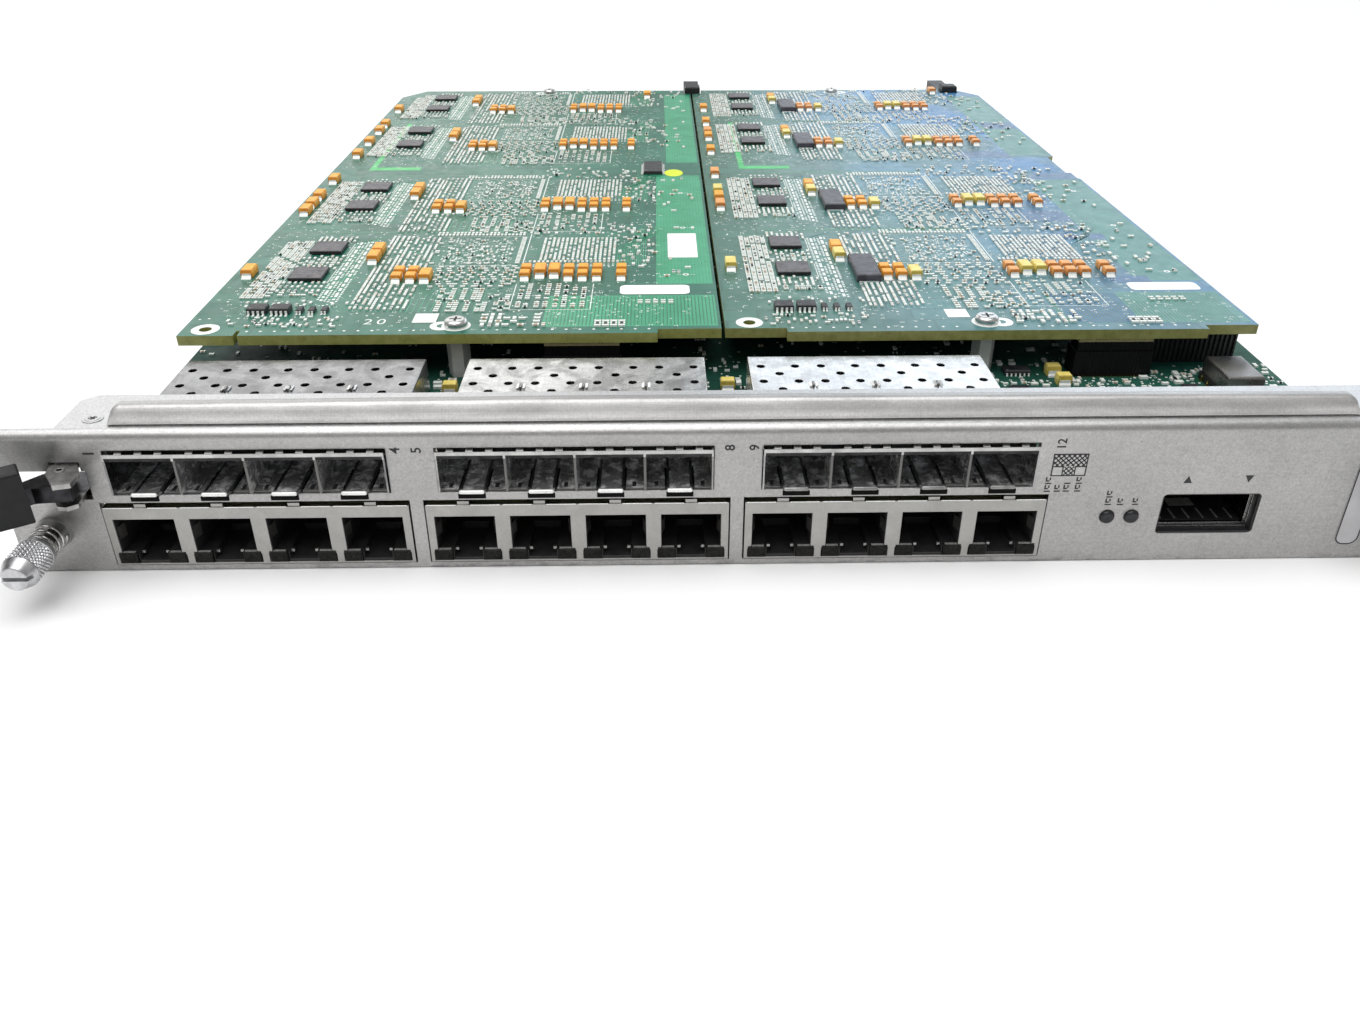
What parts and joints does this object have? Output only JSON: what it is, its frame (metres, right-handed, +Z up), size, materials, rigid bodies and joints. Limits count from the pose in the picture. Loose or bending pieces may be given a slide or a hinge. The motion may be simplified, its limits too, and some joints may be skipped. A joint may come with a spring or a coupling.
{
  "type": "test load module",
  "caption": "Wide plug-in test card with a slim aluminium faceplate, ganged pluggable and jack ports, two stacked upper boards, side ejectors and captive thumbscrews.",
  "frame": {"origin": "on the floor under the middle of the module's overall box", "axes": "+X to the right of the faceplate as seen from the front, +Y to the rear connectors, +Z up"},
  "size_m": [0.3242, 0.406, 0.0367],
  "materials": {
    "face_aluminium": "fine satin, lightly brushed",
    "gasket_cloth": "silver conductive cloth over foam under clear film",
    "label_film": "satin silver film with a thin dark outline",
    "main_laminate": "green solder mask over glass laminate",
    "upper_laminate": "green solder mask over glass laminate, olive cut edge",
    "tin_cage": "bright tin plate with soft blotches",
    "spring_tin": "bright spring metal",
    "jack_shield": "plain nickel plate",
    "black_plastic": "moulded, fine grain",
    "gold_contact": "gold flash",
    "lens": "smoky light pipe, unlit",
    "light_lens": "dark round lens, unlit",
    "cream_plastic": "moulded high-temperature resin",
    "steel": "zinc plated",
    "tantalum_body": "orange moulded body with tinned ends",
    "chip_body": "moulded epoxy",
    "ferrite": "pressed dark grey block",
    "sink_aluminium": "black anodised",
    "can_metal": "gold-tinted can",
    "connector_grey": "grey moulded resin",
    "bracket_steel": "zinc plated folded sheet",
    "lever_metal": "dark grey cast metal with a bright worn edge",
    "grip_plastic": "fine grained black",
    "knob_steel": "knurled, bright",
    "spring_steel": "bright drawn wire"
  },
  "bodies": {
    "root": {"backplane_connectors": "connector_grey", "board_screws": "steel", "driver_chips": "chip_body", "faceplate": "face_aluminium", "guide_sockets": "black_plastic", "heat_sinks": "sink_aluminium", "inductor_blocks": "ferrite", "label_plate": "label_film", "left_ejector_bracket": "bracket_steel", "left_pivot_pin": "steel", "left_thumbscrew_ferrule": "steel", "left_thumbscrew_spring": "spring_steel", "left_upper_board": "upper_laminate", "main_board": "main_laminate", "main_board_capacitors": "tantalum_body", "main_board_chips": "chip_body", "memory_chips_left": "chip_body", "memory_chips_right": "chip_body", "mezzanine_plugs": "cream_plastic", "mezzanine_sockets": "cream_plastic", "oscillator_base": "black_plastic", "oscillator_can": "can_metal", "power_connector": "black_plastic", "power_modules": "black_plastic", "processors": "chip_body", "right_ejector_bracket": "bracket_steel", "right_pivot_pin": "steel", "right_thumbscrew_ferrule": "steel", "right_thumbscrew_spring": "spring_steel", "right_upper_board": "upper_laminate", "rj45_contacts": "gold_contact", "rj45_housing_1": "black_plastic", "rj45_housing_2": "black_plastic", "rj45_housing_3": "black_plastic", "rj45_led_lenses": "lens", "rj45_shield_1": "jack_shield", "rj45_shield_2": "jack_shield", "rj45_shield_3": "jack_shield", "sfp_cage_1": "tin_cage", "sfp_cage_2": "tin_cage", "sfp_cage_3": "tin_cage", "sfp_cage_dividers": "tin_cage", "sfp_cage_floors": "tin_cage", "sfp_host_connectors": "black_plastic", "sfp_spring_fingers": "spring_tin", "standoffs": "steel", "status_lights": "light_lens", "tantalum_capacitors_left": "tantalum_body", "tantalum_capacitors_right": "tantalum_body", "top_gasket": "gasket_cloth", "xfp_cage": "tin_cage", "xfp_connector": "black_plastic"},
    "left_ejector": {"left_ejector_lever": "lever_metal", "left_ejector_grip": "grip_plastic"},
    "right_ejector": {"right_ejector_lever": "lever_metal", "right_ejector_grip": "grip_plastic"},
    "left_press": {"left_slip_washer": "steel"},
    "right_press": {"right_slip_washer": "steel"},
    "left_screw": {"left_thumbscrew": "knob_steel"},
    "right_screw": {"right_thumbscrew": "knob_steel"}
  },
  "joints": [
    {"name": "left_ejector_swing", "type": "hinge", "parent": "root", "child": "left_ejector", "pos_m": [-0.1373, -0.18595, 0.022], "axis": [0, 0, 1], "range_deg": [-32, 50]},
    {"name": "left_thumbscrew_press", "type": "slide", "parent": "root", "child": "left_press", "axis": [0, 1, 0], "range_m": [0, 0.0035], "stiffness_N_per_m": 500, "springref_m": -0.002, "deforming": ["left_thumbscrew_spring"]},
    {"name": "left_thumbscrew_turn", "type": "hinge", "parent": "left_press", "child": "left_screw", "pos_m": [-0.144, -0.19575, 0.0098], "axis": [0, 1, 0], "continuous": true},
    {"name": "right_ejector_swing", "type": "hinge", "parent": "root", "child": "right_ejector", "pos_m": [0.1373, -0.18595, 0.022], "axis": [0, 0, -1], "range_deg": [-32, 50]},
    {"name": "right_thumbscrew_press", "type": "slide", "parent": "root", "child": "right_press", "axis": [0, 1, 0], "range_m": [0, 0.0035], "stiffness_N_per_m": 500, "springref_m": -0.002, "deforming": ["right_thumbscrew_spring"]},
    {"name": "right_thumbscrew_turn", "type": "hinge", "parent": "right_press", "child": "right_screw", "pos_m": [0.144, -0.19575, 0.0098], "axis": [0, 1, 0], "continuous": true}
  ]
}
